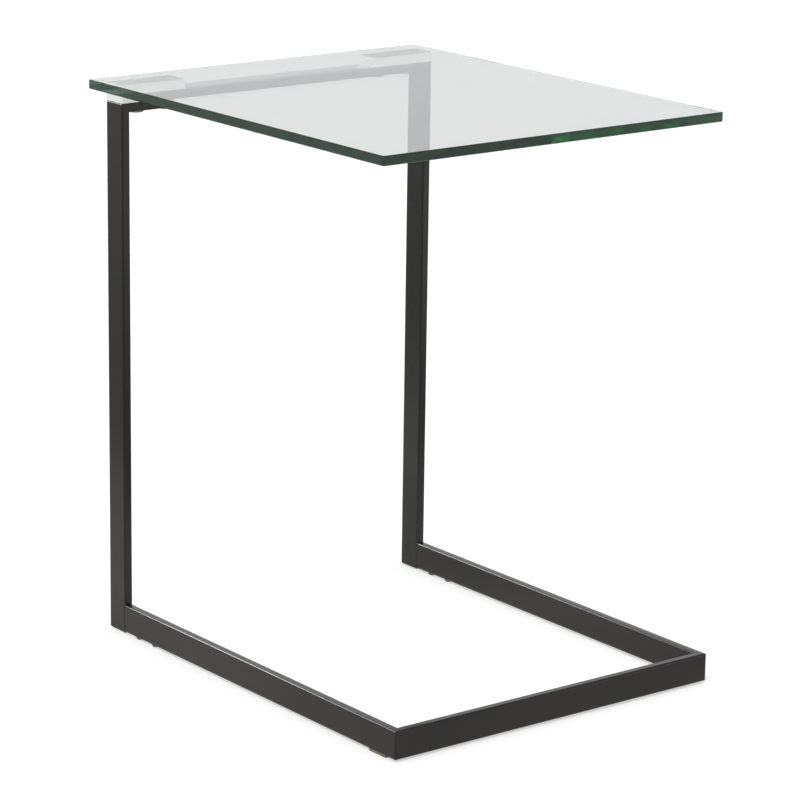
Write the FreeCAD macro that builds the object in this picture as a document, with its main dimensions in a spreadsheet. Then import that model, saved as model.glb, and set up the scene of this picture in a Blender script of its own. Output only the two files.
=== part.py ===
"""C shaped side table: a sheet of glass held along its rear edge by a frame of flat rectangular tube.

The frame is two weldments that knock down for packing. The upright one is two posts and a top rail, with a spigot
on the foot of each post. The base is two runners and a front bar, whose open rear ends slide over the spigots and
are pinned by two screws from below. The glass is bonded to two plates, and these are screwed on to the rail.

Millimetres, +Z up, +X to the right, -Y is the open side of the C. The origin is on the floor, at the middle of the
object's overall width and depth.
"""

import FreeCAD, Part
import os

import Sketcher

SIZES = {
    # overall
    "overall_height": 600,      # floor to the top of the glass
    "frame_width": 408,         # over the outer faces of the two posts
    "frame_depth": 510,         # front of the front bar to the back of the posts
    "foot_height": 2.5,         # floor to the underside of the tubes: the pads' thickness
    # the tube that every member of the frame is cut from
    "tube_wide": 30,
    "tube_thin": 10,
    "tube_wall": 1.5,
    "tube_outer_radius": 2,
    "tube_inner_radius": 0.5,
    "ground_radius": 2,         # weld corners are dressed to this radius
    "cut_margin": 2,            # how far a cutting profile runs past the metal
    # glass
    "glass_width": 430,
    "glass_depth": 510,
    "glass_thickness": 10,
    "glass_overhang": 17,       # past the back of the posts
    "glass_dub": 1.5,           # flat ground across each corner
    "glass_arris": 0.8,
    # plates bonded under the glass
    "plate_length": 80,
    "plate_thickness": 10,
    "plate_edge": 0.6,
    "bond_thickness": 0.3,
    "bond_margin": 0.6,
    # plate screws, from below through the rail into the plates
    "plate_hole_first": 27,     # from the outer end of the plate
    "plate_hole_spacing": 38,
    "plate_hole_depth": 8,
    "plate_screw_diameter": 6,
    "plate_screw_length": 18,
    "plate_head_diameter": 14,
    "plate_head_height": 3.3,
    "plate_head_bevel": 2.2,
    "plate_socket_flats": 4,
    "plate_socket_depth": 2.1,
    "plate_clearance": 6.6,
    "washer_outer": 16,
    "washer_inner": 6.4,
    "washer_thickness": 1.6,
    # knock-down joint between the base and the posts
    "spigot_length": 70,
    "spigot_gap": 0.2,          # to the tube's inner wall, all round
    "spigot_lead": 1,
    "joint_hole_first": 23,     # from the front face of the post
    "joint_hole_spacing": 30,
    "joint_hole_depth": 14,
    "joint_screw_diameter": 5,
    "joint_screw_length": 12,
    "joint_head_diameter": 9.4,
    "joint_head_height": 2.5,   # as the pads' thickness, so that the table stands level
    "joint_head_bevel": 0.9,
    "joint_socket_flats": 3,
    "joint_socket_depth": 1.5,
    "joint_clearance": 5.5,
    "screw_tip": 0.6,
    # pads under the front of the runners
    "pad_length": 28,
    "pad_width": 8,
    "pad_setback": 17,          # from the front of the base
    "pad_corner": 1.5,
    # moulded plugs in the open lower ends of the posts
    "plug_flange": 1,
    "plug_flange_margin": 0.7,  # inside the tube's outline, all round
    "plug_edge": 0.4,
    "plug_corner": 0.6,         # flat across each corner of the stem and the ribs
    "plug_stem_length": 15,
    "plug_stem_gap": 0.5,       # stem to the tube's inner wall
    "plug_stem_wall": 1.1,
    "plug_rib_first": 2.5,
    "plug_rib_spacing": 4.5,
    "plug_rib_height": 1,
    "plug_rib_count": 3,
}

SIDES = {"left": -1, "right": 1}

doc = FreeCAD.newDocument("c_side_table")
sheet = doc.addObject("Spreadsheet::Sheet", "Sizes")
for row, (alias, value) in enumerate(SIZES.items(), start=1):
    sheet.set(f"A{row}", alias)
    sheet.set(f"B{row}", str(value))
    sheet.setAlias(f"B{row}", alias)
doc.recompute()

# Levels and stations, as expressions over the sheet.
BASE_FRONT = "-(Sizes.frame_depth + Sizes.glass_overhang) / 2"
POST_BACK = "(Sizes.frame_depth - Sizes.glass_overhang) / 2"
GLASS_BACK = "(Sizes.frame_depth + Sizes.glass_overhang) / 2"
POST_CENTRE = f"{POST_BACK} - Sizes.tube_wide / 2"
POST_FRONT = f"{POST_BACK} - Sizes.tube_wide"
GLASS_UNDER = "Sizes.overall_height - Sizes.glass_thickness"
PLATE_TOP = f"{GLASS_UNDER} - Sizes.bond_thickness"
RAIL_TOP = f"{PLATE_TOP} - Sizes.plate_thickness"
RAIL_UNDER = f"{RAIL_TOP} - Sizes.tube_thin"
TUBE_CENTRE = "(Sizes.frame_width / 2 - Sizes.tube_thin / 2)"
RUNNER_LENGTH = "(Sizes.frame_depth - Sizes.tube_wide)"
POST_LENGTH = f"({RAIL_TOP} - Sizes.foot_height)"
OUTER_PLATE_HOLE = "-(Sizes.frame_width / 2 - Sizes.plate_hole_first)"
INNER_WIDE = "(Sizes.tube_wide - 2 * Sizes.tube_wall)"
INNER_THIN = "(Sizes.tube_thin - 2 * Sizes.tube_wall)"


# ---- drawing helpers ------------------------------------------------------------------------------------------

def new_body(name):
    """A body whose label is the name of the piece."""
    body = doc.addObject("PartDesign::Body", name)
    body.Label = name
    return body


def origin_feature(body, role):
    """One of the body's own origin planes or axes."""
    return next(item for item in body.Origin.OriginFeatures if item.Role == role)


def new_sketch(body, name, plane):
    """A sketch on one of the body's own origin planes."""
    sketch = body.newObject("Sketcher::SketchObject", name)
    sketch.AttachmentSupport = [(origin_feature(body, plane), "")]
    sketch.MapMode = "FlatFace"
    return sketch


def number(sketch, expression):
    """What an expression over the sheet is worth now."""
    return float(sketch.evalExpression(expression))


def bind(sketch, kind, geometry, point, expression):
    """Fix one coordinate of a point by an expression; kind is DistanceX or DistanceY."""
    value = number(sketch, expression)
    index = sketch.addConstraint(Sketcher.Constraint(kind, -1, 1, geometry, point, value))
    sketch.setExpression(f"Constraints[{index}]", expression)


def locate(sketch, geometry, point, x, y):
    """Fix both coordinates of a point."""
    bind(sketch, "DistanceX", geometry, point, x)
    bind(sketch, "DistanceY", geometry, point, y)


def draw_polygon(sketch, corners):
    """A closed outline through corners given as pairs of expressions."""
    points = [FreeCAD.Vector(number(sketch, x), number(sketch, y), 0) for x, y in corners]
    count = len(points)
    lines = [sketch.addGeometry(Part.LineSegment(points[i], points[(i + 1) % count])) for i in range(count)]
    for i, line in enumerate(lines):
        sketch.addConstraint(Sketcher.Constraint("Coincident", line, 2, lines[(i + 1) % count], 1))
        locate(sketch, line, 1, *corners[i])


def draw_rectangle(sketch, wide, tall):
    """A plain rectangle about the sketch's origin."""
    half_x, half_y = f"({wide}) / 2", f"({tall}) / 2"
    draw_polygon(sketch, [(f"-{half_x}", f"-{half_y}"), (half_x, f"-{half_y}"),
                          (half_x, half_y), (f"-{half_x}", half_y)])


def draw_clipped_rectangle(sketch, wide, tall, clip):
    """A rectangle about the sketch's origin with a flat across each corner."""
    half_x, half_y = f"({wide}) / 2", f"({tall}) / 2"
    short_x, short_y = f"({half_x} - {clip})", f"({half_y} - {clip})"
    draw_polygon(sketch, [(short_x, f"-{half_y}"), (half_x, f"-{short_y}"),
                          (half_x, short_y), (short_x, half_y),
                          (f"-{short_x}", half_y), (f"-{half_x}", short_y),
                          (f"-{half_x}", f"-{short_y}"), (f"-{short_x}", f"-{half_y}")])


def draw_rounded_rectangle(sketch, wide, tall, radius):
    """A rectangle about the sketch's origin with four equal round corners: an arc at each, joined by lines."""
    reach_x, reach_y = f"(({wide}) / 2 - ({radius}))", f"(({tall}) / 2 - ({radius}))"
    size = number(sketch, radius)
    arcs, centres = [], []
    for quarter, (sign_x, sign_y) in enumerate([(1, 1), (-1, 1), (-1, -1), (1, -1)]):
        centre = (f"{sign_x} * {reach_x}", f"{sign_y} * {reach_y}")
        middle = FreeCAD.Vector(number(sketch, centre[0]), number(sketch, centre[1]), 0)
        start = FreeCAD.Units.Quantity(f"{90 * quarter} deg").getValueAs("rad").Value
        end = FreeCAD.Units.Quantity(f"{90 * quarter + 90} deg").getValueAs("rad").Value
        circle = Part.Circle(middle, FreeCAD.Vector(0, 0, 1), size)
        arcs.append(sketch.addGeometry(Part.ArcOfCircle(circle, start, end)))
        centres.append(centre)
    lines = []
    for i, arc in enumerate(arcs):
        after = arcs[(i + 1) % 4]
        start, end = sketch.getPoint(arc, 2), sketch.getPoint(after, 1)
        line = sketch.addGeometry(Part.LineSegment(start, end))
        lines.append((arc, line, after))
    for arc, line, after in lines:
        sketch.addConstraint(Sketcher.Constraint("Tangent", arc, 2, line, 1))
        sketch.addConstraint(Sketcher.Constraint("Tangent", line, 2, after, 1))
    for arc, centre in zip(arcs, centres):
        locate(sketch, arc, 3, *centre)
    for arc in arcs[1:]:
        sketch.addConstraint(Sketcher.Constraint("Equal", arcs[0], arc))
    index = sketch.addConstraint(Sketcher.Constraint("Radius", arcs[0], size))
    sketch.setExpression(f"Constraints[{index}]", radius)


def draw_circle(sketch, x, y, diameter):
    """A circle at a point given by two expressions."""
    centre = FreeCAD.Vector(number(sketch, x), number(sketch, y), 0)
    radius = number(sketch, diameter) / 2
    circle = sketch.addGeometry(Part.Circle(centre, FreeCAD.Vector(0, 0, 1), radius))
    locate(sketch, circle, 3, x, y)
    index = sketch.addConstraint(Sketcher.Constraint("Diameter", circle, 2 * radius))
    sketch.setExpression(f"Constraints[{index}]", diameter)


def extrude(body, kind, sketch, length, symmetric=False, backwards=False):
    """A Pad or a Pocket of a sketch by a length."""
    feature = body.newObject(f"PartDesign::{kind}", f"{sketch.Name}_{kind.lower()}")
    feature.Profile = sketch
    feature.SideType = "Symmetric" if symmetric else "One side"
    feature.Reversed = backwards
    feature.setExpression("Length", length)
    sketch.Visibility = False
    return feature


def cut_through(body, sketch):
    """A Pocket through everything, both ways from the sketch."""
    feature = body.newObject("PartDesign::Pocket", f"{sketch.Name}_cut")
    feature.Profile = sketch
    feature.Type = "ThroughAll"
    feature.SideType = "Symmetric"
    return feature


def place(body, x, y, z):
    """Stand the body's own origin at a point of the table."""
    for axis, expression in zip("xyz", (x, y, z)):
        body.setExpression(f"Placement.Base.{axis}", expression)


def edges_where(feature, test):
    """Names of the edges of a feature whose bounding box passes a test."""
    doc.recompute()
    return [f"Edge{i}" for i, edge in enumerate(feature.Shape.Edges, start=1) if test(edge.BoundBox)]


def faces_at(feature, level):
    """Names of the level faces of a feature at a height."""
    doc.recompute()
    flat = [(i, face.BoundBox) for i, face in enumerate(feature.Shape.Faces, start=1)]
    return [f"Face{i}" for i, box in flat if abs(box.ZMin - level) < 1e-4 and abs(box.ZMax - level) < 1e-4]


def bevel(body, feature, names, size):
    """A Chamfer on named edges of a feature, or on every edge of named faces."""
    bevelled = body.newObject("PartDesign::Chamfer", f"{feature.Name}_bevel")
    bevelled.Base = (feature, names)
    bevelled.setExpression("Size", size)
    return bevelled


def repeat(body, originals, axis, spacing, count="2"):
    """A row of equal features along one of the body's own axes."""
    pattern = body.newObject("PartDesign::LinearPattern", f"{body.Name}_row")
    pattern.Originals = originals
    pattern.Direction = (origin_feature(body, axis), [""])
    pattern.Mode = "Spacing"
    pattern.setExpression("Offset", spacing)
    pattern.setExpression("Occurrences", count)
    body.Tip = pattern
    return pattern


def mirror_to_the_right(body):
    """The same again on the other side of the body's own YZ plane."""
    doc.recompute()
    mirrored = body.newObject("PartDesign::Mirrored", f"{body.Name}_mirrored")
    mirrored.TransformMode = "Whole shape"
    mirrored.MirrorPlane = (origin_feature(body, "YZ_Plane"), [""])
    body.Tip = mirrored
    return mirrored


# ---- frame tube -----------------------------------------------------------------------------------------------

def tube(name, plane, upright, length, symmetric=False):
    """A length of the frame tube: one Pad of an outer and an inner rounded rectangle.

    upright sets the wide side along the sketch's vertical axis, else it lies along the horizontal one.
    """
    body = new_body(name)
    section = new_sketch(body, f"{name}_section", plane)
    for wide, thin, radius in (("Sizes.tube_wide", "Sizes.tube_thin", "Sizes.tube_outer_radius"),
                               (INNER_WIDE, INNER_THIN, "Sizes.tube_inner_radius")):
        across, along = (thin, wide) if upright else (wide, thin)
        draw_rounded_rectangle(section, across, along, radius)
    extrude(body, "Pad", section, length, symmetric=symmetric)
    return body


def mitre(body, name, plane, tip, into, turn):
    """Cut the end of a tube at 45 degrees and dress the weld corner round.

    tip is the outer corner of the joint in the plane's coordinates. The tube runs from it in direction into,
    and turn is the direction in which the other tube leaves it. The metal beyond the diagonal goes.
    """
    reach = "(Sizes.tube_thin + Sizes.cut_margin)"
    outside = "Sizes.cut_margin"

    def point(along, across):
        """The point at a distance into the tube and a distance across it, from the tip."""
        x = f"{tip[0]} + {into[0]} * {along} + {turn[0]} * {across}"
        y = f"{tip[1]} + {into[1]} * {along} + {turn[1]} * {across}"
        return x, y

    diagonal = new_sketch(body, f"{name}_mitre", plane)
    draw_polygon(diagonal, [point(f"(-{outside})", f"(-{outside})"), point(reach, reach),
                            point(f"(-{outside})", reach)])
    cut_through(body, diagonal)

    corner = new_sketch(body, f"{name}_dressing", plane)
    draw_corner_waste(corner, point)
    cut_through(body, corner)


def draw_corner_waste(sketch, point):
    """The sliver between a square corner and the round that it is ground to."""
    radius = "Sizes.ground_radius"
    square = point("0", "0")
    ends = [point(radius, "0"), point("0", radius)]
    centre = point(radius, radius)
    corner, first, second, middle = [
        FreeCAD.Vector(number(sketch, x), number(sketch, y), 0) for x, y in (square, *ends, centre)]
    halfway = middle + (corner - middle).normalize() * number(sketch, radius)
    round_edge = sketch.addGeometry(Part.Arc(first, halfway, second))
    starts_at_first = sketch.getPoint(round_edge, 1).distanceToPoint(first) < 1e-6
    arc_ends = (1, 2) if starts_at_first else (2, 1)
    for arc_end, end, place_of_end in zip(arc_ends, (first, second), ends):
        line = sketch.addGeometry(Part.LineSegment(corner, end))
        sketch.addConstraint(Sketcher.Constraint("Coincident", line, 2, round_edge, arc_end))
        locate(sketch, line, 1, *square)
        locate(sketch, line, 2, *place_of_end)
    index = sketch.addConstraint(Sketcher.Constraint("Radius", round_edge, number(sketch, radius)))
    sketch.setExpression(f"Constraints[{index}]", radius)


def make_post(name, side):
    """Rises from the level of the runners' underside to the rail; its top is mitred to the rail's end."""
    post = tube(f"{name}_post", "XY_Plane", True, POST_LENGTH)
    outer_top = (f"{side} * Sizes.tube_thin / 2", POST_LENGTH)
    mitre(post, f"{name}_post_top", "XZ_Plane", outer_top, into=(0, -1), turn=(-side, 0))
    place(post, f"{side} * {TUBE_CENTRE}", POST_CENTRE, "Sizes.foot_height")
    return post


def make_top_rail():
    """Lies flat between the posts; clearance holes for the plate screws go through both of its walls."""
    rail = tube("top_rail", "YZ_Plane", False, "Sizes.frame_width", symmetric=True)
    holes = new_sketch(rail, "top_rail_holes", "XY_Plane")
    for side in SIDES.values():
        outer_top = (f"{side} * Sizes.frame_width / 2", "Sizes.tube_thin / 2")
        mitre(rail, f"rail_{'right' if side > 0 else 'left'}", "XZ_Plane", outer_top,
              into=(-side, 0), turn=(0, -1))
        for step in (0, 1):
            station = f"(Sizes.plate_hole_first + {step} * Sizes.plate_hole_spacing)"
            draw_circle(holes, f"{side} * (Sizes.frame_width / 2 - {station})", "0", "Sizes.plate_clearance")
    cut_through(rail, holes)
    place(rail, "0", POST_CENTRE, f"{RAIL_UNDER} + Sizes.tube_thin / 2")
    return rail


def make_runner(name, side):
    """Lies on edge from the post forwards; open at the post, where it slides over the spigot."""
    runner = tube(f"{name}_runner", "XZ_Plane", True, RUNNER_LENGTH)
    outer_front = (f"{side} * Sizes.tube_thin / 2", f"-{RUNNER_LENGTH}")
    mitre(runner, f"{name}_runner_front", "XY_Plane", outer_front, into=(0, 1), turn=(-side, 0))
    holes = new_sketch(runner, f"{name}_runner_holes", "XY_Plane")
    for step in (0, 1):
        station = f"-(Sizes.joint_hole_first + {step} * Sizes.joint_hole_spacing)"
        draw_circle(holes, "0", station, "Sizes.joint_clearance")
    extrude(runner, "Pocket", holes, "Sizes.tube_wide / 2")
    place(runner, f"{side} * {TUBE_CENTRE}", POST_FRONT, "Sizes.foot_height + Sizes.tube_wide / 2")
    return runner


def make_front_bar():
    """Ties the front ends of the runners, on edge like them, mitred at both ends."""
    bar = tube("front_bar", "YZ_Plane", True, "Sizes.frame_width", symmetric=True)
    for side in SIDES.values():
        outer_front = (f"{side} * Sizes.frame_width / 2", "-Sizes.tube_thin / 2")
        mitre(bar, f"bar_{'right' if side > 0 else 'left'}", "XY_Plane", outer_front,
              into=(-side, 0), turn=(0, 1))
    place(bar, "0", f"{BASE_FRONT} + Sizes.tube_thin / 2", "Sizes.foot_height + Sizes.tube_wide / 2")
    return bar


# ---- knock-down joint -----------------------------------------------------------------------------------------

def make_spigot(name, side):
    """A flat steel bar welded to the front of the post's foot, with a lead-in and two tapped holes below."""
    spigot = new_body(f"{name}_spigot")
    section = new_sketch(spigot, f"{name}_spigot_section", "XZ_Plane")
    thin, tall = f"{INNER_THIN} - 2 * Sizes.spigot_gap", f"{INNER_WIDE} - 2 * Sizes.spigot_gap"
    draw_rectangle(section, thin, tall)
    bar = extrude(spigot, "Pad", section, "Sizes.spigot_length")
    free_end = -SIZES["spigot_length"]
    rim = edges_where(bar, lambda box: box.YMax < free_end + 1e-4)
    bevel(spigot, bar, rim, "Sizes.spigot_lead")
    holes = new_sketch(spigot, f"{name}_spigot_holes", "XY_Plane")
    holes.setExpression("AttachmentOffset.Base.z", f"-({tall}) / 2")
    for step in (0, 1):
        station = f"-(Sizes.joint_hole_first + {step} * Sizes.joint_hole_spacing)"
        draw_circle(holes, "0", station, "Sizes.joint_screw_diameter")
    extrude(spigot, "Pocket", holes, "Sizes.joint_hole_depth", backwards=True)
    place(spigot, f"{side} * {TUBE_CENTRE}", POST_FRONT, "Sizes.foot_height + Sizes.tube_wide / 2")
    return spigot


def make_screws(name, size, station, row_axis, spacing):
    """Socket screws that point up, two in a row on the left and their mirror image on the right.

    size is the prefix of the screw's sizes in the sheet, and station is the first one's X. The bearing faces of the
    heads are at height 0.
    """
    screws = new_body(name)
    radius, reach = f"Sizes.{size}_screw_diameter / 2", f"Sizes.{size}_screw_length"
    head, drop = f"Sizes.{size}_head_diameter / 2", f"-Sizes.{size}_head_height"
    profile = new_sketch(screws, f"{name}_profile", "XZ_Plane")
    profile.setExpression("AttachmentOffset.Base.x", station)
    draw_polygon(profile, [("0", drop), (head, drop), (head, "0"), (radius, "0"),
                           (radius, f"{reach} - Sizes.screw_tip"), (f"{radius} - Sizes.screw_tip", reach),
                           ("0", reach)])
    turned = screws.newObject("PartDesign::Revolution", f"{name}_turned")
    turned.Profile = profile
    turned.ReferenceAxis = (profile, ["V_Axis"])
    lowest = -SIZES[f"{size}_head_height"]
    rim = edges_where(turned, lambda box: box.ZMax < lowest + 1e-4)
    bevelled = bevel(screws, turned, rim, f"Sizes.{size}_head_bevel")
    socket = new_sketch(screws, f"{name}_socket", "XY_Plane")
    socket.setExpression("AttachmentOffset.Base.x", station)
    socket.setExpression("AttachmentOffset.Base.z", drop)
    corner = f"Sizes.{size}_socket_flats / sqrt(3)"
    draw_polygon(socket, [(f"{corner} * cos({60 * i}deg)", f"{corner} * sin({60 * i}deg)") for i in range(6)])
    recess = extrude(screws, "Pocket", socket, f"Sizes.{size}_socket_depth", backwards=True)
    repeat(screws, [turned, bevelled, recess], row_axis, spacing)
    mirror_to_the_right(screws)
    return screws


def make_joint_screws():
    """Hold the runners on the spigots from below; the rear of the table stands on their heads."""
    screws = make_screws("joint_screws", "joint", f"-{TUBE_CENTRE}", "Y_Axis", "Sizes.joint_hole_spacing")
    last_row = f"{POST_FRONT} - Sizes.joint_hole_first - Sizes.joint_hole_spacing"
    place(screws, "0", last_row, "Sizes.foot_height")
    return screws


# ---- plugs and pads -------------------------------------------------------------------------------------------

def make_post_plug(name, side):
    """Moulded plug in the open lower end of the post: flange, hollow stem and ribs that grip the tube."""
    plug = new_body(f"{name}_post_plug")
    outline = new_sketch(plug, f"{name}_plug_flange", "XY_Plane")
    margin = "Sizes.plug_flange_margin"
    draw_rounded_rectangle(outline, f"Sizes.tube_thin - 2 * {margin}", f"Sizes.tube_wide - 2 * {margin}",
                           f"Sizes.tube_outer_radius - {margin}")
    flange = extrude(plug, "Pad", outline, "Sizes.plug_flange", backwards=True)
    lower_rim = faces_at(flange, -SIZES["plug_flange"])
    bevel(plug, flange, lower_rim, "Sizes.plug_edge")

    stem_thin, stem_wide = f"{INNER_THIN} - 2 * Sizes.plug_stem_gap", f"{INNER_WIDE} - 2 * Sizes.plug_stem_gap"
    stem = new_sketch(plug, f"{name}_plug_stem", "XY_Plane")
    draw_clipped_rectangle(stem, stem_thin, stem_wide, "Sizes.plug_corner")
    extrude(plug, "Pad", stem, "Sizes.plug_stem_length")

    rib = new_sketch(plug, f"{name}_plug_rib", "XY_Plane")
    rib.setExpression("AttachmentOffset.Base.z", "Sizes.plug_rib_first")
    draw_clipped_rectangle(rib, INNER_THIN, INNER_WIDE, "Sizes.plug_corner")
    first_rib = extrude(plug, "Pad", rib, "Sizes.plug_rib_height")
    repeat(plug, [first_rib], "Z_Axis", "Sizes.plug_rib_spacing", "Sizes.plug_rib_count")

    core = new_sketch(plug, f"{name}_plug_core", "XY_Plane")
    draw_rectangle(core, f"{stem_thin} - 2 * Sizes.plug_stem_wall", f"{stem_wide} - 2 * Sizes.plug_stem_wall")
    hollow = extrude(plug, "Pocket", core, "Sizes.plug_stem_length", backwards=True)
    plug.Tip = hollow
    place(plug, f"{side} * {TUBE_CENTRE}", POST_CENTRE, "Sizes.foot_height")
    return plug


def make_pad(name, side):
    """Self-adhesive pad, die-cut from sheet, under the runner just behind the front corner."""
    pad = new_body(f"front_{name}_pad")
    outline = new_sketch(pad, f"front_{name}_pad_outline", "XY_Plane")
    draw_rounded_rectangle(outline, "Sizes.pad_width", "Sizes.pad_length", "Sizes.pad_corner")
    extrude(pad, "Pad", outline, "Sizes.foot_height")
    place(pad, f"{side} * {TUBE_CENTRE}", f"{BASE_FRONT} + Sizes.pad_setback + Sizes.pad_length / 2", "0")
    return pad


# ---- top ------------------------------------------------------------------------------------------------------

def make_glass():
    """One sheet with ground and polished edges: dubbed corners and an arris all round both faces."""
    glass = new_body("glass_top")
    outline = new_sketch(glass, "glass_outline", "XY_Plane")
    draw_rectangle(outline, "Sizes.glass_width", "Sizes.glass_depth")
    pane = extrude(glass, "Pad", outline, "Sizes.glass_thickness")
    upright = edges_where(pane, lambda box: box.ZLength > SIZES["glass_thickness"] / 2)
    dubbed = bevel(glass, pane, upright, "Sizes.glass_dub")
    faces = faces_at(dubbed, 0) + faces_at(dubbed, SIZES["glass_thickness"])
    bevel(glass, dubbed, faces, "Sizes.glass_arris")
    place(glass, "0", f"{GLASS_BACK} - Sizes.glass_depth / 2", GLASS_UNDER)
    return glass


def make_plate(name, side):
    """Metal plate as deep as the rail, flush with the post, with two blind tapped holes in its underside."""
    plate = new_body(f"{name}_mount_plate")
    outline = new_sketch(plate, f"{name}_plate_outline", "XY_Plane")
    draw_rectangle(outline, "Sizes.plate_length", "Sizes.tube_wide")
    block = extrude(plate, "Pad", outline, "Sizes.plate_thickness")
    upright = edges_where(block, lambda box: box.ZLength > SIZES["plate_thickness"] / 2)
    bevel(plate, block, upright, "Sizes.plate_edge")
    drilling = new_sketch(plate, f"{name}_plate_drilling", "XY_Plane")
    for step in (0, 1):
        station = f"(Sizes.plate_hole_first + {step} * Sizes.plate_hole_spacing)"
        draw_circle(drilling, f"{side} * (Sizes.plate_length / 2 - {station})", "0", "Sizes.plate_screw_diameter")
    extrude(plate, "Pocket", drilling, "Sizes.plate_hole_depth", backwards=True)
    place(plate, f"{side} * (Sizes.frame_width - Sizes.plate_length) / 2", POST_CENTRE, RAIL_TOP)
    return plate


def make_bond(name, side):
    """Cured adhesive between the plate and the glass, a little smaller than the plate."""
    bond = new_body(f"{name}_plate_bond")
    outline = new_sketch(bond, f"{name}_bond_outline", "XY_Plane")
    draw_rounded_rectangle(outline, "Sizes.plate_length - 2 * Sizes.bond_margin",
                           "Sizes.tube_wide - 2 * Sizes.bond_margin", "2 * Sizes.bond_margin")
    extrude(bond, "Pad", outline, "Sizes.bond_thickness")
    place(bond, f"{side} * (Sizes.frame_width - Sizes.plate_length) / 2", POST_CENTRE, PLATE_TOP)
    return bond


def make_plate_screws():
    """Come up through the rail into the plates."""
    screws = make_screws("plate_screws", "plate", OUTER_PLATE_HOLE, "X_Axis", "Sizes.plate_hole_spacing")
    place(screws, "0", POST_CENTRE, f"{RAIL_UNDER} - Sizes.washer_thickness")
    return screws


def make_plate_washers():
    """Spread each head's load on the thin lower wall of the rail."""
    washers = new_body("plate_washers")
    ring = new_sketch(washers, "washer_ring", "XY_Plane")
    ring.setExpression("AttachmentOffset.Base.x", OUTER_PLATE_HOLE)
    draw_circle(ring, "0", "0", "Sizes.washer_outer")
    draw_circle(ring, "0", "0", "Sizes.washer_inner")
    disc = extrude(washers, "Pad", ring, "Sizes.washer_thickness", backwards=True)
    repeat(washers, [disc], "X_Axis", "Sizes.plate_hole_spacing")
    mirror_to_the_right(washers)
    place(washers, "0", POST_CENTRE, RAIL_UNDER)
    return washers


# ---- assembly -------------------------------------------------------------------------------------------------

pieces = [make_top_rail(), make_front_bar(), make_glass(), make_plate_washers(), make_plate_screws(),
          make_joint_screws()]
for hand, sign in SIDES.items():
    for make in (make_post, make_runner, make_spigot, make_post_plug, make_pad, make_plate, make_bond):
        pieces.append(make(hand, sign))
doc.recompute()

for item in doc.Objects:
    if {"Invalid", "Error"} & set(item.State):
        raise RuntimeError(f"{item.Name} failed: {item.State}")
os.makedirs("parts", exist_ok=True)
for piece in pieces:
    if piece.Shape.isNull() or not piece.Shape.isValid():
        raise RuntimeError(f"{piece.Label} has no valid shape")
    piece.Shape.exportStep(f"parts/{piece.Label}.step")
    print(f"{piece.Label}: {len(piece.Shape.Solids)} solid(s), {piece.Shape.Volume / 1000:.2f} cm3")
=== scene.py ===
"""C shaped side table: a glass sheet on a slim frame of black tube, in a plain white studio.

Metres, +Z up, -Y towards the open side of the C. The origin is on the floor, at the middle of the table.
"""

import bmesh
import bpy
import math
from mathutils import Matrix, Vector, noise


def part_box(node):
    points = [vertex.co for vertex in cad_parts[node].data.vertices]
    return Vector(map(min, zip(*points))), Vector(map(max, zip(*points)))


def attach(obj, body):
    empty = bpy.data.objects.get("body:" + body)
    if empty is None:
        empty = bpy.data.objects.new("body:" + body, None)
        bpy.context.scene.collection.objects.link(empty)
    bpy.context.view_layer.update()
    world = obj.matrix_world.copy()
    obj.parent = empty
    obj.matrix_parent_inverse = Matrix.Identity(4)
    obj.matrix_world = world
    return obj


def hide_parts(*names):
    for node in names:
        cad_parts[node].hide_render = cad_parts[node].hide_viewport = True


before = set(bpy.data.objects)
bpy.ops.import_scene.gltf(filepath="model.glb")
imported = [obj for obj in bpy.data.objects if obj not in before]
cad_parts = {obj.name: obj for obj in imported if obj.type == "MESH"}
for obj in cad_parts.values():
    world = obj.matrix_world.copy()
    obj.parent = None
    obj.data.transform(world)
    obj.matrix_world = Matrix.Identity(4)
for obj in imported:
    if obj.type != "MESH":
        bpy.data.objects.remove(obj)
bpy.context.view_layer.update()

# ---- frame tube ----------------------------------------------------------------------------------
# Six lengths of flat steel tube, cut, welded and ground flush, then powder coated in black. The uprights
# and the base are two weldments; a spigot on the foot of each post slides into the open end of a runner.

MM = 0.001
COAT_THICK = "#0f0f0f"
COAT_THIN = "#161514"
COAT_PATCH = 70 * MM            # size of the slow changes in the film's thickness
PEEL_WIDTH = 1.8 * MM           # one cell of orange peel
PEEL_HEIGHT = 0.006 * MM
GRAIN_WIDTH = 0.35 * MM         # powder grains that didn't flow out, drawn coarser than they are
DRAW_LINE_WIDTH = 1.1 * MM      # lines that the tube mill leaves, drawn wider than they are so that they show
DRAW_LINE_LENGTH = 90 * MM
DRAW_LINE_DEPTH = 0.004 * MM
COLOUR_1 = 6                    # the sockets of a Mix node that take its two colours
COLOUR_2 = 7
MIXED_COLOUR = 2                # and the socket that gives the mixed colour


def linear(colour):
    """An sRGB hex colour as linear red, green, blue and alpha."""
    parts = [int(colour[i:i + 2], 16) / 255 for i in (1, 3, 5)]
    return (*(part / 12.92 if part <= 0.04045 else ((part + 0.055) / 1.055) ** 2.4 for part in parts), 1)


def new_material(name):
    """An empty material, and its node tree."""
    material = bpy.data.materials.new(name)
    material.use_nodes = True
    material.node_tree.nodes.clear()
    return material, material.node_tree


def add(tree, kind, inputs=(), **settings):
    """Add a node. An input that is given a socket is linked to it, and any other is set to its value."""
    node = tree.nodes.new("ShaderNode" + kind)
    for name, value in settings.items():
        setattr(node, name, value)
    for name, value in dict(inputs).items():
        if isinstance(value, bpy.types.NodeSocket):
            tree.links.new(value, node.inputs[name])
        else:
            node.inputs[name].default_value = value
    return node


def coat(material, *node_names):
    """Give a material to CAD nodes."""
    for name in node_names:
        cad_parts[name].material_slots[0].material = material


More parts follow.
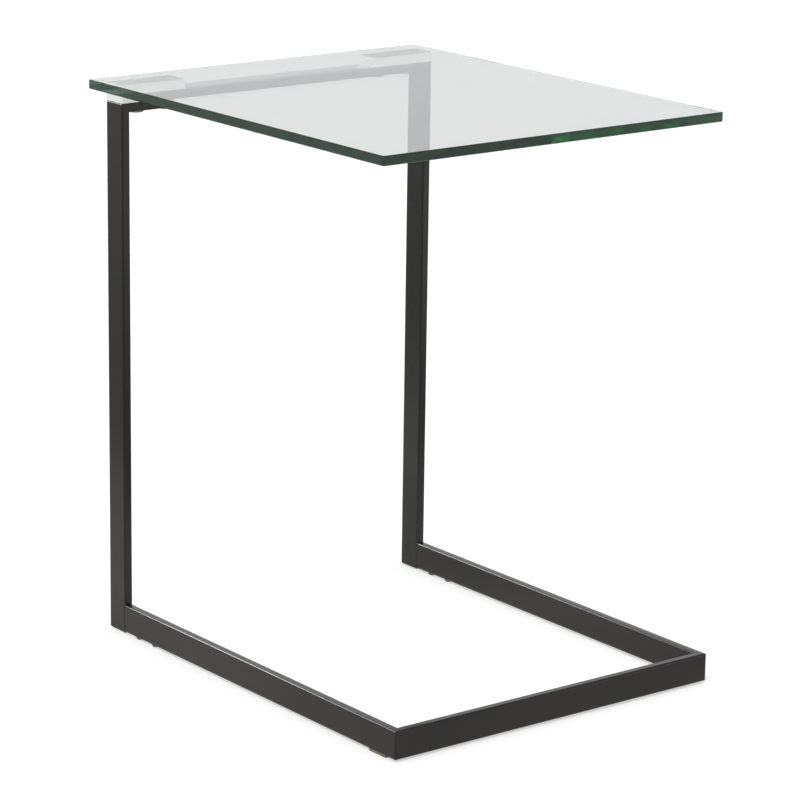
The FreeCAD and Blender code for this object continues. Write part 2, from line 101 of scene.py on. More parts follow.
def powder_coat(name, along):
    """Satin black polyester powder coat on drawn tube, baked until it flows.

    It gives the eye a near black that is grey only where it mirrors the room, with soft orange peel, a trace
    of the mill's draw lines along the tube, and slow changes of tone where the film is thicker. along is the
    tube's axis.
    """
    material, tree = new_material(name)
    place = add(tree, "TexCoord").outputs["Object"]
    patches = add(tree, "TexNoise", {"Vector": place, "Scale": 1 / COAT_PATCH, "Detail": 3.0})
    film = add(tree, "MapRange", {"Value": patches.outputs["Fac"], "From Min": 0.35, "From Max": 0.65})
    colour = add(tree, "Mix", {"Factor": film.outputs["Result"], COLOUR_1: linear(COAT_THICK),
                               COLOUR_2: linear(COAT_THIN)}, data_type="RGBA")

    stretch = [1 / DRAW_LINE_WIDTH] * 3
    stretch["XYZ".index(along)] = 1 / DRAW_LINE_LENGTH
    drawn = add(tree, "Mapping", {"Vector": place, "Scale": stretch})
    lines = add(tree, "TexNoise", {"Vector": drawn.outputs["Vector"], "Scale": 1.0, "Detail": 2.0})
    peel = add(tree, "TexNoise", {"Vector": place, "Scale": 1 / PEEL_WIDTH, "Detail": 1.0})
    grain = add(tree, "TexNoise", {"Vector": place, "Scale": 1 / GRAIN_WIDTH, "Detail": 2.0})

    line_bump = add(tree, "Bump", {"Height": lines.outputs["Fac"], "Distance": DRAW_LINE_DEPTH})
    peel_bump = add(tree, "Bump", {"Height": peel.outputs["Fac"], "Distance": PEEL_HEIGHT,
                                   "Normal": line_bump.outputs["Normal"]})
    roughness = add(tree, "MapRange", {"Value": grain.outputs["Fac"], "From Min": 0.3, "From Max": 0.7,
                                       "To Min": 0.19, "To Max": 0.25})
    surface = add(tree, "BsdfPrincipled", {"Base Color": colour.outputs[MIXED_COLOUR],
                                           "Roughness": roughness.outputs["Result"], "IOR": 1.5,
                                           "Normal": peel_bump.outputs["Normal"]})
    add(tree, "OutputMaterial", {"Surface": surface.outputs["BSDF"]})
    return material


coat(powder_coat("powder_coated_steel_upright", "Z"), "left_post", "right_post")
coat(powder_coat("powder_coated_steel_lengthwise", "Y"),
     "left_runner", "right_runner", "left_spigot", "right_spigot")
coat(powder_coat("powder_coated_steel_across", "X"), "top_rail", "front_bar")

# ---- joint screws --------------------------------------------------------------------------------
# Two M5 button head screws under each runner pin it to the spigot inside, and the rear of the table stands
# on their heads. They are cold-headed steel with rolled threads, zinc plated and olive passivated.

JOINT_SCREW = {"head_diameter": 9.4 * MM, "head_height": 2.5 * MM, "crown": 2.6 * MM, "diameter": 5 * MM,
               "length": 12 * MM, "pitch": 0.8 * MM, "flats": 3 * MM, "socket_depth": 1.5 * MM}
JOINT_SPACING = 30 * MM         # between the two screws of a runner
SCREW_SEGMENTS = 48             # points to one ring
DOME_STEPS = 6                  # bands across the crown
THREAD_STEPS = 5                # rings to one turn of the thread
THREAD_DEPTH = 0.61             # of the pitch
HEAD_RIM = 0.18                 # height of the plain rim beside the bearing face, of the head's height
RIM_EASE = 0.3                  # how far the rim is eased at the bearing face, of the rim's height
SOCKET_MOUTH = 0.60             # radius of the chamfer round the socket, of its width across flats
SOCKET_CHAMFER = 0.05           # depth of that chamfer, of the same width
SCREW_TIP = 0.85                # radius of the shank's end, of the thread's root
SHARP_ANGLE = 32                # degrees; faces that meet at more than this keep a sharp edge
PLATING_GRAIN = 0.25 * MM       # drawn coarser than it is, so that it shows
PLATING_DEPTH = 0.004 * MM
PLATING_UNEVEN = 0.05           # how far its roughness varies either way


def skin(body, loops):
    """Join loops of vertices, each to the next, and close both ends."""
    for lower, upper in zip(loops, loops[1:]):
        for i in range(len(lower)):
            after = (i + 1) % len(lower)
            body.faces.new((lower[i], lower[after], upper[after], upper[i]))
    body.faces.new(loops[0])
    body.faces.new(loops[-1])


def add_screw(body, seat, head_diameter, head_height, crown, diameter, length, pitch, flats, socket_depth):
    """Add one socket screw to a bmesh. It points up, and seat is the middle of its bearing face.

    crown is the width of the rounded band round the head's face: wide on a button head, narrow on a flat one.
    """
    head = head_diameter / 2
    shank = diameter / 2
    rim = head_height * HEAD_RIM
    root = shank - THREAD_DEPTH * pitch

    def circle(radius):
        return lambda angle: radius

    def hexagon(angle):
        return flats / 2 / math.cos(angle % (math.pi / 3) - math.pi / 6)

    def thread(height):
        def reach(angle):
            phase = (height / pitch - angle / math.tau) % 1
            return root + (shank - root) * (1 - abs(2 * phase - 1))
        return reach

    rings = [(hexagon, socket_depth - head_height),
             (hexagon, SOCKET_CHAMFER * flats - head_height),
             (circle(flats * SOCKET_MOUTH), -head_height)]
    for step in range(DOME_STEPS + 1):
        turn = math.pi / 2 * (1 - step / DOME_STEPS)
        radius = head - crown + crown * math.cos(turn)
        rings.append((circle(radius), -rim - (head_height - rim) * math.sin(turn)))
    rings += [(circle(head), -rim * RIM_EASE), (circle(head - rim * RIM_EASE), 0), (circle(shank), 0)]
    last_thread_ring = int((length - pitch) / pitch * THREAD_STEPS)
    for step in range(THREAD_STEPS, last_thread_ring):
        height = step * pitch / THREAD_STEPS
        rings.append((thread(height), height))
    rings += [(circle(root), length - pitch / 2), (circle(root * SCREW_TIP), length)]

    angles = [math.tau * i / SCREW_SEGMENTS for i in range(SCREW_SEGMENTS)]
    loops = []
    for reach, height in rings:
        loops.append([body.verts.new(seat + Vector((reach(a) * math.cos(a), reach(a) * math.sin(a), height)))
                      for a in angles])
    skin(body, loops)


def show(name, body, material, slot, *replaced):
    """Turn a bmesh into a piece that stands for CAD nodes and rides with the table."""
    bmesh.ops.recalc_face_normals(body, faces=body.faces)
    mesh = bpy.data.meshes.new(name)
    body.to_mesh(mesh)
    body.free()
    mesh.shade_smooth()
    mesh.set_sharp_from_angle(angle=math.radians(SHARP_ANGLE))
    mesh.materials.append(material)
    piece = bpy.data.objects.new(name, mesh)
    bpy.context.scene.collection.objects.link(piece)
    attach(piece, "root")
    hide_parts(*replaced)
    return piece


def plated_steel(name, pale, dark, patch, roughness):
    """Zinc plate on cold-headed steel: bright metal whose tone drifts between pale and dark in soft patches,
    with a fine electroplated grain that spreads its highlights."""
    material, tree = new_material(name)
    place = add(tree, "TexCoord").outputs["Object"]
    drift = add(tree, "TexNoise", {"Vector": place, "Scale": 1 / patch, "Detail": 2.0})
    amount = add(tree, "MapRange", {"Value": drift.outputs["Fac"], "From Min": 0.35, "From Max": 0.65})
    colour = add(tree, "Mix", {"Factor": amount.outputs["Result"], COLOUR_1: linear(pale),
                               COLOUR_2: linear(dark)}, data_type="RGBA")
    plating = add(tree, "TexNoise", {"Vector": place, "Scale": 1 / PLATING_GRAIN, "Detail": 2.0})
    bump = add(tree, "Bump", {"Height": plating.outputs["Fac"], "Distance": PLATING_DEPTH})
    spread = add(tree, "MapRange", {"Value": plating.outputs["Fac"], "From Min": 0.3, "From Max": 0.7,
                                    "To Min": roughness - PLATING_UNEVEN,
                                    "To Max": roughness + PLATING_UNEVEN})
    metal = add(tree, "BsdfPrincipled", {"Base Color": colour.outputs[MIXED_COLOUR], "Metallic": 1.0,
                                         "Roughness": spread.outputs["Result"],
                                         "Normal": bump.outputs["Normal"]})
    add(tree, "OutputMaterial", {"Surface": metal.outputs["BSDF"]})
    return material


olive_zinc = plated_steel("olive_passivated_zinc", pale="#87825f", dark="#5f5c48", patch=3 * MM,
                          roughness=0.38)
joint_screws = bmesh.new()
low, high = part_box("joint_screws")
head_radius = JOINT_SCREW["head_diameter"] / 2
for x in (low.x + head_radius, high.x - head_radius):
    for y in (low.y + head_radius, low.y + head_radius + JOINT_SPACING):
        add_screw(joint_screws, Vector((x, y, low.z + JOINT_SCREW["head_height"])), **JOINT_SCREW)
show("joint_screw_set", joint_screws, olive_zinc, "yellow_zinc", "joint_screws")

# ---- post plugs ----------------------------------------------------------------------------------
# A polyethylene plug closes the lower end of each post, and its thin flange lies against the cut tube. It
# is injection moulded in black in a spark-eroded mould, and pressed in.

SPARK_GRAIN = 0.45 * MM         # drawn coarser than it is, so that it shows
SPARK_DEPTH = 0.03 * MM
WAX_PATCH = 9 * MM


def moulded_polyethylene():
    """Black low-density polyethylene, moulded: waxy and matt, a little paler and duller in soft patches, with
    the mould's fine spark-eroded grain."""
    material, tree = new_material("moulded_polyethylene")
    place = add(tree, "TexCoord").outputs["Object"]
    spark = add(tree, "TexVoronoi", {"Vector": place, "Scale": 1 / SPARK_GRAIN})
    waxy = add(tree, "TexNoise", {"Vector": place, "Scale": 1 / WAX_PATCH, "Detail": 3.0})
    colour = add(tree, "Mix", {"Factor": waxy.outputs["Fac"], COLOUR_1: linear("#141414"),
                               COLOUR_2: linear("#232322")}, data_type="RGBA")
    bump = add(tree, "Bump", {"Height": spark.outputs["Distance"], "Distance": SPARK_DEPTH})
    gloss = add(tree, "MapRange", {"Value": waxy.outputs["Fac"], "To Min": 0.46, "To Max": 0.60})
    plastic = add(tree, "BsdfPrincipled", {"Base Color": colour.outputs[MIXED_COLOUR],
                                           "Roughness": gloss.outputs["Result"], "IOR": 1.51,
                                           "Normal": bump.outputs["Normal"]})
    add(tree, "OutputMaterial", {"Surface": plastic.outputs["BSDF"]})
    return material


coat(moulded_polyethylene(), "left_post_plug", "right_post_plug")

# ---- front pads ----------------------------------------------------------------------------------
# A strip of khaki pressed felt under each runner, just behind the front corner, as thick as the screw heads
# behind, so that the table stands level. It is die-cut from sheet and stuck on with its own adhesive film.

FELT_BULGE = 0.15 * MM          # how far the pressed edge swells at half height
FELT_CORNER = 1.5 * MM
FELT_FUZZ = 0.06 * MM           # how far tufts stand out of the edge
FELT_TUFT = 0.7 * MM
FELT_LEVELS = 8                 # bands from the lower face to the upper one
FELT_STEP = 0.5 * MM            # between the points of a ring
FELT_FIBRE = 0.5 * MM           # drawn many times as thick as it is, so that it shows
FELT_FLECK = 1.6 * MM
FELT_NAP = 0.25 * MM
CORNER_STEPS = 4                # straight pieces to one round corner


def pressed_felt():
    """Pressed wool felt: no weave, only matted fibres, flecked dark and pale and soft at grazing angles."""
    material, tree = new_material("pressed_felt")
    place = add(tree, "TexCoord").outputs["Object"]
    fibres = add(tree, "TexNoise", {"Vector": place, "Scale": 1 / FELT_FIBRE, "Detail": 5.0,
                                    "Distortion": 1.5})
    flecks = add(tree, "TexNoise", {"Vector": place, "Scale": 1 / FELT_FLECK, "Detail": 2.0})
    contrast = add(tree, "MapRange", {"Value": flecks.outputs["Fac"], "From Min": 0.35, "From Max": 0.65})
    colour = add(tree, "Mix", {"Factor": contrast.outputs["Result"], COLOUR_1: linear("#6b6045"),
                               COLOUR_2: linear("#8b7d5c")}, data_type="RGBA")
    bump = add(tree, "Bump", {"Height": fibres.outputs["Fac"], "Distance": FELT_NAP})
    wool = add(tree, "BsdfPrincipled", {"Base Color": colour.outputs[MIXED_COLOUR], "Roughness": 0.95,
                                        "Sheen Weight": 0.3, "Sheen Roughness": 0.6,
                                        "Normal": bump.outputs["Normal"]})
    add(tree, "OutputMaterial", {"Surface": wool.outputs["BSDF"]})
    return material


def rounded_outline(width, length, radius, step):
    """Points round a rectangle with round corners, centred on the origin, with their outward directions."""
    points = []
    for quarter, (sign_x, sign_y) in enumerate(((1, 1), (-1, 1), (-1, -1), (1, -1))):
        centre = Vector((sign_x * (width / 2 - radius), sign_y * (length / 2 - radius), 0))
        for i in range(CORNER_STEPS + 1):
            angle = quarter * math.pi / 2 + math.pi / 2 * i / CORNER_STEPS
            outward = Vector((math.cos(angle), math.sin(angle), 0))
            points.append((centre + outward * radius, outward))
    filled = []
    for (point, outward), (after, outward_after) in zip(points, points[1:] + points[:1]):
        pieces = max(1, round((after - point).length / step))
        for i in range(pieces):
            share = i / pieces
            filled.append((point.lerp(after, share), outward.lerp(outward_after, share)))
    return filled


felt = pressed_felt()
for side in ("left", "right"):
    low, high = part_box(f"front_{side}_pad")
    middle = (low + high) / 2
    width = high.x - low.x - 2 * FELT_BULGE
    length = high.y - low.y - 2 * FELT_BULGE
    outline = rounded_outline(width, length, FELT_CORNER, FELT_STEP)
    pad = bmesh.new()
    loops = []
    for level in range(FELT_LEVELS + 1):
        share = level / FELT_LEVELS
        swell = FELT_BULGE * math.sin(math.pi * share)
        loop = []
        for point, outward in outline:
            at = middle + point + outward * swell
            at.z = low.z + share * (high.z - low.z)
            fuzz = noise.noise(at / FELT_TUFT) * FELT_FUZZ * math.sin(math.pi * share)
            loop.append(pad.verts.new(at + outward * fuzz))
        loops.append(loop)
    skin(pad, loops)
    piece = show(f"front_{side}_felt_pad", pad, felt, "khaki_felt", f"front_{side}_pad")

# ---- mounting plates -----------------------------------------------------------------------------
# Two blocks of aluminium flat bar lie on the ends of the rail and carry the glass. They are sawn, deburred
# and natural anodised, and drilled and tapped from below.

BRUSH_WIDTH = 0.5 * MM          # drawn coarser than it is, so that it shows
BRUSH_LENGTH = 25 * MM
BRUSH_DEPTH = 0.01 * MM


def satin_anodised_aluminium():
    """Aluminium etched matt under a clear anodic film: the film scatters about half of the light, so it is
    pale, even and almost white, with short drawn lines along the bar and no sharp mirror."""
    material, tree = new_material("satin_anodised_aluminium")
    place = add(tree, "TexCoord").outputs["Object"]
    drawn = add(tree, "Mapping", {"Vector": place,
                                  "Scale": (1 / BRUSH_LENGTH, 1 / BRUSH_WIDTH, 1 / BRUSH_WIDTH)})
    lines = add(tree, "TexNoise", {"Vector": drawn.outputs["Vector"], "Scale": 1.0, "Detail": 3.0})
    colour = add(tree, "Mix", {"Factor": lines.outputs["Fac"], COLOUR_1: linear("#f4f1f2"),
                               COLOUR_2: linear("#fffdfe")}, data_type="RGBA")
    bump = add(tree, "Bump", {"Height": lines.outputs["Fac"], "Distance": BRUSH_DEPTH})
    spread = add(tree, "MapRange", {"Value": lines.outputs["Fac"], "To Min": 0.40, "To Max": 0.52})
    metal = add(tree, "BsdfPrincipled", {"Base Color": colour.outputs[MIXED_COLOUR], "Metallic": 0.5,
                                         "Roughness": spread.outputs["Result"],
                                         "Normal": bump.outputs["Normal"]})
    add(tree, "OutputMaterial", {"Surface": metal.outputs["BSDF"]})
    return material


coat(satin_anodised_aluminium(), "left_mount_plate", "right_mount_plate")

# ---- plate screws --------------------------------------------------------------------------------
# Two M6 furniture bolts come up through the rail into each plate. Their flat heads are as wide and as thin
# as washers, so they stand for the screws and the washers together. The plating is dull grey zinc-nickel.

PLATE_SCREW = {"head_diameter": 17 * MM, "head_height": 2.8 * MM, "crown": 1.0 * MM, "diameter": 6 * MM,
               "length": 16 * MM, "pitch": 1.0 * MM, "flats": 4 * MM, "socket_depth": 2.1 * MM}
PLATE_SCREW_SPACING = 38 * MM   # between the two screws of a plate

grey_zinc = plated_steel("zinc_nickel_plate", pale="#969698", dark="#828284", patch=4 * MM, roughness=0.34)
plate_screws = bmesh.new()
low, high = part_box("plate_washers")
washer_radius = (high.y - low.y) / 2
for side in (-1, 1):
    outer = side * (high.x - washer_radius)
    for x in (outer, outer - side * PLATE_SCREW_SPACING):
        add_screw(plate_screws, Vector((x, (low.y + high.y) / 2, high.z)), **PLATE_SCREW)
show("plate_screw_set", plate_screws, grey_zinc, "grey_zinc", "plate_screws", "plate_washers")

# ---- adhesive ------------------------------------------------------------------------------------
# A film of clear adhesive joins each plate to the glass. It is spread thin, pressed, which makes its edge
# wander a little, and cured under a lamp.

FILM_WETTING = 0.02 * MM        # how far it reaches into the glass and the plate, so that no air shows
FILM_CORNER = 1.5 * MM
FILM_BULGE = 0.1 * MM
FILM_WAVER = 0.35 * MM          # how far its edge wanders
FILM_WAVE = 6 * MM
FILM_STEP = 1 * MM              # between the points of a ring
BUBBLE_SPACING = 2.2 * MM
FLOW_WIDTH = 14 * MM


def cured_clear_adhesive():
    """Clear adhesive cured on satin metal: the metal's face shows through it, so it is as pale as the plate
    from above and dark at grazing angles, slightly grey-green, with fine trapped bubbles."""
    material, tree = new_material("cured_clear_adhesive")
    place = add(tree, "TexCoord").outputs["Object"]
    bubbles = add(tree, "TexVoronoi", {"Vector": place, "Scale": 1 / BUBBLE_SPACING})
    flow = add(tree, "TexNoise", {"Vector": place, "Scale": 1 / FLOW_WIDTH, "Detail": 2.0})
    speck = add(tree, "MapRange", {"Value": bubbles.outputs["Distance"], "From Min": 0.05, "From Max": 0.14})
    body = add(tree, "Mix", {"Factor": flow.outputs["Fac"], COLOUR_1: linear("#d1d5d4"),
                             COLOUR_2: linear("#dfe2e1")}, data_type="RGBA")
    colour = add(tree, "Mix", {"Factor": speck.outputs["Result"], COLOUR_1: linear("#e9ecea"),
                               COLOUR_2: body.outputs[MIXED_COLOUR]}, data_type="RGBA")
    cured = add(tree, "BsdfPrincipled", {"Base Color": colour.outputs[MIXED_COLOUR], "Metallic": 0.9,
                                         "Roughness": 0.25, "IOR": 1.47})
    add(tree, "OutputMaterial", {"Surface": cured.outputs["BSDF"]})
    return material


adhesive = cured_clear_adhesive()
for side in ("left", "right"):
    low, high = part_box(f"{side}_plate_bond")
    middle = (low + high) / 2
    film = bmesh.new()
    loops = []
    for height, swell in ((low.z - FILM_WETTING, 0), (middle.z, FILM_BULGE), (high.z + FILM_WETTING, 0)):
        loop = []
        for point, outward in rounded_outline(high.x - low.x, high.y - low.y, FILM_CORNER, FILM_STEP):
            spread = swell + FILM_WAVER * noise.noise((middle + point) / FILM_WAVE)
            at = middle + point + outward * spread
            at.z = height
            loop.append(film.verts.new(at))
        loops.append(loop)
    skin(film, loops)
    show(f"{side}_adhesive_film", film, adhesive, "clear_adhesive", f"{side}_plate_bond")

# ---- glass ---------------------------------------------------------------------------------------
# One sheet of clear float glass, held only by the adhesive near its rear edge. Its edges are ground square,
# arrissed on a belt and polished on a wheel.

GLASS_TINT = "#73bc89"
GLASS_DENSITY = 15.09           # how strongly a metre of the glass takes on its tint
EDGE_HAZE = (0.018, 0.042)      # least and most of a polished edge that is still faintly matt
WHEEL_MARK = 4 * MM             # between the polishing wheel's fine marks
FLAT_FACE = 0.9                 # the normals of the two faces rise more than this, and those of edges less


def float_glass():
    """Clear float glass: it is all but colourless through its thickness and dark green along its length. Its
    edges and their narrow arrises are polished, which leaves a trace of haze and faint wheel marks."""
    material, tree = new_material("polished_float_glass")
    glass = add(tree, "BsdfPrincipled", {"Base Color": linear("#ffffff"), "Roughness": 0.0, "IOR": 1.52,
                                         "Transmission Weight": 1.0})
    normal = add(tree, "NewGeometry").outputs["True Normal"]
    rise = add(tree, "Math", {0: add(tree, "SeparateXYZ", {"Vector": normal}).outputs["Z"]},
               operation="ABSOLUTE")
    at_edge = add(tree, "Math", {0: rise.outputs["Value"], 1: FLAT_FACE}, operation="LESS_THAN")
    wheel_marks = add(tree, "TexNoise", {"Vector": add(tree, "TexCoord").outputs["Object"],
                                         "Scale": 1 / WHEEL_MARK, "Detail": 3.0})
    worn = add(tree, "MapRange", {"Value": wheel_marks.outputs["Fac"], "From Min": 0.3, "From Max": 0.7,
                                  "To Min": EDGE_HAZE[0], "To Max": EDGE_HAZE[1]})
    haze = add(tree, "Math", {0: at_edge.outputs["Value"], 1: worn.outputs["Result"]}, operation="MULTIPLY")
    matt = add(tree, "BsdfDiffuse", {"Color": linear("#c4f0ea")})
    body = add(tree, "MixShader", {0: haze.outputs["Value"], 1: glass.outputs["BSDF"],
                                   2: matt.outputs["BSDF"]})
    see_through = add(tree, "BsdfTransparent", {"Color": linear("#eef6f1")})
    shadow = add(tree, "LightPath").outputs["Is Shadow Ray"]
    surface = add(tree, "MixShader", {0: shadow, 1: body.outputs["Shader"], 2: see_through.outputs["BSDF"]})
    depth = add(tree, "VolumeAbsorption", {"Color": linear(GLASS_TINT), "Density": GLASS_DENSITY})
    add(tree, "OutputMaterial", {"Surface": surface.outputs["Shader"], "Volume": depth.outputs["Volume"]})
    return material


coat(float_glass(), "glass_top")

# ---- studio --------------------------------------------------------------------------------------
# A pale floor that runs out into a white room, a soft key light, a softbox behind, a weak fill in front, and
# a window whose panes show in the glass's edges. The camera is in front of the table's left corner.

FLOOR_COLOUR = "#d0d0d0"
FLOOR_STIPPLE_COLOUR = "#d2d2d2"
FLOOR_STIPPLE = 2.5 * MM        # grain that the paint roller leaves
FLOOR_SIZE = 40.0
FLOOR_GLOW = 0.48               # brings the open floor to white
PAINTED_POOL_CENTRE = (0, 0.3, 0)       # the painted pool of light on the floor is centred a little behind the table
PAINTED_POOL_EDGE = (1.0, 2.2)          # metres from the middle of the pool, where it begins and ends to fade
FAR_GLOW_THROUGH_GLASS = 0.11   # the painted glow that glass shows of the floor outside the pool
# Metres from the middle of the pool, and how bright the floor's painted pool of light glows there, as gloss
# mirrors it.
PAINTED_POOL_LEVELS = ((0.18, 0.68), (0.30, 0.85), (0.42, 0.75), (0.62, 0.69), (1.0, 0.41), (1.5, 0.44),
                  (2.6, 0.58))
PAINTED_POOL_END = 3.0        # the distance at the end of the ramp that holds them
# Sine of the height above the horizon, and how bright gloss mirrors the room there.
MIRRORED_ROOM = ((0.14, 0.918), (0.31, 1.11), (0.35, 1.38), (0.39, 0.50), (0.50, 0.42))
ROOM_LIGHT = 0.72               # what the room adds to a white surface
KEY_LIGHT = 0.28                # what the key light adds to it
KEY_HEIGHT = 42                 # degrees above the horizon
KEY_SIDE = -65                  # degrees round the vertical
KEY_SPREAD = 60                 # degrees across, which makes its shadow soft
LAMP_STRENGTH = 4               # watts to a square metre that make a lamp as bright as a white wall
WINDOW_PLACE = Vector((-1.10, 1.76, 0.97))
WINDOW_AIM = Vector((0.20, 0.26, 0.60))
WINDOW_HEIGHT = 0.45
# How far along the window each pane's middle is, its width, and how bright it is.
WINDOW_PANES = ((-0.018, 0.026, 9.0), (0.028, 0.026, 8.0), (0.070, 0.024, 8.0), (0.119, 0.018, 4.5),
                (0.156, 0.026, 3.2), (0.215, 0.070, 1.3))
PANE_STEP = 0.01                # each pane stands this far in front of the last, so that none overlap
MANY_BOUNCES = 7                # light that runs the length of the glass has more
MOST_BOUNCES = 32               # light runs the length of the glass in about twelve
CAMERA_PLACE = Vector((-2.16755, -2.80569, 1.21621))
CAMERA_AZIMUTH = -37.6761       # degrees
CAMERA_ELEVATION = 14.8137
CAMERA_ROLL = 0.8246
CAMERA_LENS = 157.67            # millimetres


def ray_kinds(tree):
    """Three factors: 1 for the camera's rays, 1 for rays through glass, and 1 for rays that gloss mirrors."""
    path = add(tree, "LightPath")
    through = path.outputs["Is Transmission Ray"]
    seen = add(tree, "Math", {0: path.outputs["Is Camera Ray"], 1: through}, operation="MAXIMUM")
    mirrored = add(tree, "Math", {0: path.outputs["Is Glossy Ray"], 1: seen.outputs["Value"]},
                   operation="SUBTRACT", use_clamp=True)
    return path.outputs["Is Camera Ray"], through, mirrored.outputs["Value"]


def brightness(tree, position, stops, tint):
    """A tint whose brightness follows stops of position and level, with positions from 0 to 1."""
    ramp = add(tree, "ValToRGB", {"Fac": position})
    elements = ramp.color_ramp.elements
    while len(elements) < len(stops):
        elements.new(0.5)
    for element, (at, level) in zip(elements, stops):
        element.position = at
        element.color = (level * tint[0], level * tint[1], level * tint[2], 1)
    return ramp.outputs["Color"]


def pale_floor():
    """Matt painted floor that is lifted to white and keeps the table's shadow. It also glows with a painted
    pool of light, pale near the table and dimmer further off: gloss on the table mirrors it, and glass shows
    a dimmer glow beyond the pool."""
    material, tree = new_material("matt_painted_floor")
    camera_ray, through, mirrored = ray_kinds(tree)
    place = add(tree, "TexCoord").outputs["Object"]
    roller = add(tree, "TexNoise", {"Vector": place, "Scale": 1 / FLOOR_STIPPLE, "Detail": 2.0})
    colour = add(tree, "Mix", {"Factor": roller.outputs["Fac"], COLOUR_1: linear(FLOOR_COLOUR),
                               COLOUR_2: linear(FLOOR_STIPPLE_COLOUR)}, data_type="RGBA")
    paint = add(tree, "BsdfDiffuse", {"Color": colour.outputs[MIXED_COLOUR]})
    distance = add(tree, "VectorMath", {0: place, 1: PAINTED_POOL_CENTRE}, operation="DISTANCE")
    # Seen through glass, the floor's glow is a painted pool of light that fades outwards from the middle of
    # the pool.
    fading = add(tree, "MapRange", {"Value": distance.outputs["Value"],
                                    "From Min": PAINTED_POOL_EDGE[0], "From Max": PAINTED_POOL_EDGE[1],
                                    "To Min": FLOOR_GLOW, "To Max": FAR_GLOW_THROUGH_GLASS})
    below_glass = add(tree, "Math", {0: through, 1: fading.outputs["Result"]}, operation="MULTIPLY")
    strength = add(tree, "Math", {0: camera_ray, 1: FLOOR_GLOW, 2: below_glass.outputs["Value"]},
                   operation="MULTIPLY_ADD")
    glow = add(tree, "Emission", {"Strength": strength.outputs["Value"]})
    lifted = add(tree, "AddShader", {0: paint.outputs["BSDF"], 1: glow.outputs["Emission"]})
    # Painted pool of light that only gloss sees: the floor glows pale near the table and dimmer further off.
    share = add(tree, "Math", {0: distance.outputs["Value"], 1: PAINTED_POOL_END}, operation="DIVIDE")
    stops = [(at / PAINTED_POOL_END, level) for at, level in PAINTED_POOL_LEVELS]
    pool = brightness(tree, share.outputs["Value"], stops, linear("#fffbf9"))
    mirror = add(tree, "Emission", {"Color": pool})
    surface = add(tree, "MixShader", {0: mirrored, 1: lifted.outputs["Shader"],
                                      2: mirror.outputs["Emission"]})
    add(tree, "OutputMaterial", {"Surface": surface.outputs["Shader"]})
    return material


floor_mesh = bpy.data.meshes.new("floor")
half = FLOOR_SIZE / 2
corners = [(-half, -half, 0), (half, -half, 0), (half, half, 0), (-half, half, 0)]
floor_mesh.from_pydata(corners, [], [(0, 1, 2, 3)])
floor_mesh.materials.append(pale_floor())
floor = bpy.data.objects.new("floor", floor_mesh)
bpy.context.scene.collection.objects.link(floor)

world = bpy.data.worlds.new("white_room")
bpy.context.scene.world = world
world.use_nodes = True
room = world.node_tree
room.nodes.clear()
camera_ray, through, mirrored = ray_kinds(room)
height = add(room, "SeparateXYZ", {"Vector": add(room, "TexCoord").outputs["Generated"]}).outputs["Z"]
mirrored_room = brightness(room, height, MIRRORED_ROOM, linear("#fdf8ff"))
unseen = add(room, "Mix", {"Factor": mirrored, COLOUR_1: (ROOM_LIGHT, ROOM_LIGHT, ROOM_LIGHT, 1),
                           COLOUR_2: mirrored_room}, data_type="RGBA")
seen = add(room, "Math", {0: camera_ray, 1: through}, operation="MAXIMUM")
sky = add(room, "Mix", {"Factor": seen.outputs["Value"], COLOUR_1: unseen.outputs[MIXED_COLOUR],
                        COLOUR_2: linear("#ffffff")}, data_type="RGBA")
backdrop = add(room, "Background", {"Color": sky.outputs[MIXED_COLOUR]})
add(room, "OutputWorld", {"Surface": backdrop.outputs["Background"]})


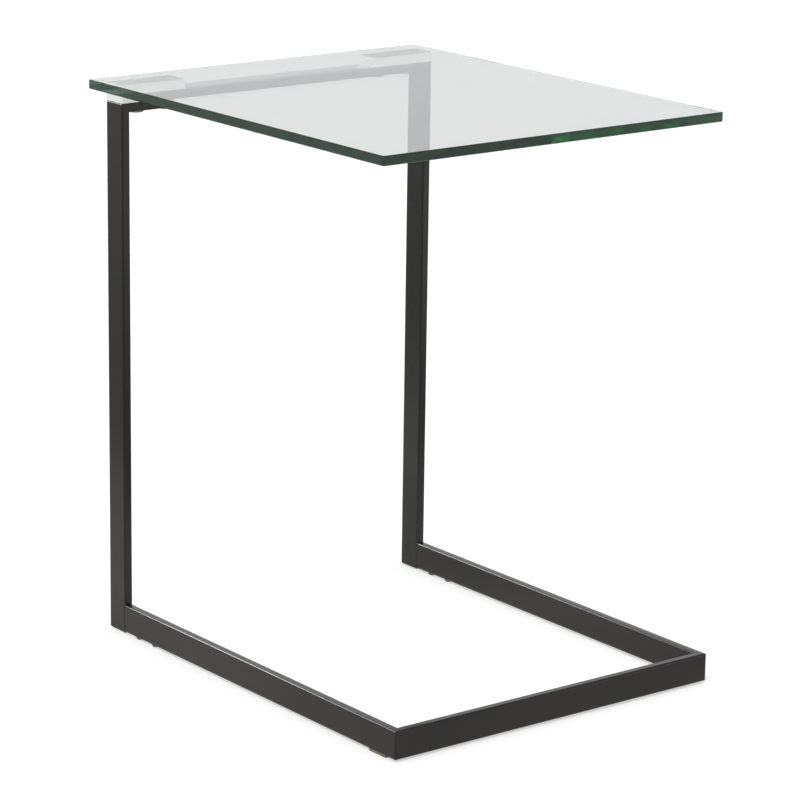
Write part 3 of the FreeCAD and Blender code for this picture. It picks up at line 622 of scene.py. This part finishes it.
def softbox(name, place, aim, width, height, radiance, in_glass_edges=False):
    """A flat lamp that faces a point; radiance is how bright its cloth is, where a white wall is 1. It shows
    as a highlight on gloss, or else only in the glass's edges, by light that has bounced many times."""
    lamp = bpy.data.lights.new(name, "AREA")
    lamp.shape = "RECTANGLE"
    lamp.size = width
    lamp.size_y = height
    lamp.energy = LAMP_STRENGTH * width * height * radiance
    lamp_object = bpy.data.objects.new(name, lamp)
    facing = (Vector(aim) - Vector(place)).to_track_quat("-Z", "Y").to_matrix().to_4x4()
    lamp_object.matrix_world = Matrix.Translation(place) @ facing
    lamp_object.visible_camera = False
    lamp_object.visible_diffuse = False
    lamp_object.visible_glossy = not in_glass_edges
    lamp_object.visible_transmission = in_glass_edges
    bpy.context.scene.collection.objects.link(lamp_object)
    if in_glass_edges:
        lamp.use_nodes = True
        bounces = add(lamp.node_tree, "LightPath").outputs["Ray Depth"]
        many = add(lamp.node_tree, "Math", {0: bounces, 1: MANY_BOUNCES}, operation="GREATER_THAN")
        lamp.node_tree.links.new(many.outputs["Value"], lamp.node_tree.nodes["Emission"].inputs["Strength"])


softbox("rear_softbox", place=(-0.50, 1.60, 1.20), aim=(-0.10, 0.0, 0.10), width=1.1, height=0.33,
        radiance=15.5)
softbox("front_fill", place=(0.75, -0.70, 0.19), aim=(0.0, 0.25, 0.19), width=0.7, height=0.38,
        radiance=0.34)
through_window = (WINDOW_AIM - WINDOW_PLACE).normalized()
along_window = through_window.cross(Vector((0, 0, 1))).normalized()
for number, (offset, width, radiance) in enumerate(WINDOW_PANES):
    shift = along_window * offset + through_window * PANE_STEP * number
    softbox(f"window_pane_{number}", WINDOW_PLACE + shift, WINDOW_AIM + shift, width, WINDOW_HEIGHT, radiance,
            in_glass_edges=True)

key = bpy.data.lights.new("key_light", "SUN")
key.energy = math.pi * KEY_LIGHT / math.sin(math.radians(KEY_HEIGHT))
key.angle = math.radians(KEY_SPREAD)
key_object = bpy.data.objects.new("key_light", key)
key_object.rotation_euler = (math.radians(90 - KEY_HEIGHT), 0, math.radians(KEY_SIDE))
bpy.context.scene.collection.objects.link(key_object)

camera = bpy.data.cameras.new("camera")
camera.lens = CAMERA_LENS
camera_object = bpy.data.objects.new("camera", camera)
azimuth, elevation, roll = (math.radians(a) for a in (CAMERA_AZIMUTH, CAMERA_ELEVATION, CAMERA_ROLL))
back = Vector((math.sin(azimuth) * math.cos(elevation), -math.cos(azimuth) * math.cos(elevation),
               math.sin(elevation)))
right = (-back).cross(Vector((0, 0, 1))).normalized()
up = right.cross(-back)
level_view = Matrix((right, up, back)).transposed().to_4x4()
camera_object.matrix_world = Matrix.Translation(CAMERA_PLACE) @ level_view @ Matrix.Rotation(roll, 4, "Z")
bpy.context.scene.collection.objects.link(camera_object)
bpy.context.scene.camera = camera_object

bpy.context.scene.view_settings.view_transform = "Standard"
bpy.context.scene.cycles.max_bounces = MOST_BOUNCES
bpy.context.scene.cycles.transmission_bounces = MOST_BOUNCES
bpy.context.scene.cycles.glossy_bounces = MOST_BOUNCES
